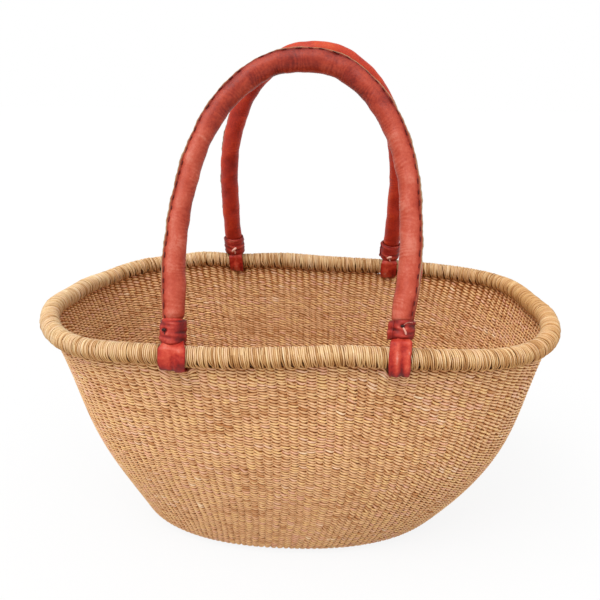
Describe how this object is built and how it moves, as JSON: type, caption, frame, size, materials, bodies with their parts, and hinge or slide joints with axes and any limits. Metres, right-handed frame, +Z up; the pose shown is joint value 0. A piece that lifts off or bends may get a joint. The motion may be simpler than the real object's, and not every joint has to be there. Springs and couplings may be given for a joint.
{
  "type": "handled market basket",
  "caption": "Oval market basket of twined grass with a straw-wrapped rim and swinging leather-covered handles on rim loops.",
  "frame": {"origin": "on the floor under the middle of the rim", "axes": "+X along the basket's length, +Y from front to rear, +Z up"},
  "size_m": [0.4794, 0.32, 0.4682],
  "materials": {
    "twined_straw": "matte",
    "wrapped_straw": "matte",
    "grass_bundle": "matte",
    "red_leather": "satin",
    "dark_red_leather": "satin",
    "leather_thong": "satin"
  },
  "bodies": {
    "basket": {"woven_base": "twined_straw", "woven_wall": "twined_straw", "rim_core": "grass_bundle", "rim_binding": "wrapped_straw"},
    "front_handle": {"front_handle_core": "grass_bundle", "front_handle_leather": "red_leather", "front_seam_lace": "leather_thong", "front_left_rim_loop": "dark_red_leather", "front_left_collar": "dark_red_leather", "front_left_thong": "leather_thong", "front_right_rim_loop": "dark_red_leather", "front_right_collar": "dark_red_leather", "front_right_thong": "leather_thong"},
    "rear_handle": {"rear_handle_core": "grass_bundle", "rear_handle_leather": "red_leather", "rear_seam_lace": "leather_thong", "rear_left_rim_loop": "dark_red_leather", "rear_left_collar": "dark_red_leather", "rear_left_thong": "leather_thong", "rear_right_rim_loop": "dark_red_leather", "rear_right_collar": "dark_red_leather", "rear_right_thong": "leather_thong"}
  },
  "joints": [
    {"name": "front_handle_swing", "type": "hinge", "parent": "basket", "child": "front_handle", "pos_m": [-0.0042, -0.14782, 0.21669], "axis": [1, -0.0039, 0.0061], "range_deg": [-7, 130]},
    {"name": "rear_handle_swing", "type": "hinge", "parent": "basket", "child": "rear_handle", "pos_m": [0.0063, 0.14779, 0.21663], "axis": [-0.9999, 0.0059, 0.014], "range_deg": [-24, 114]}
  ]
}
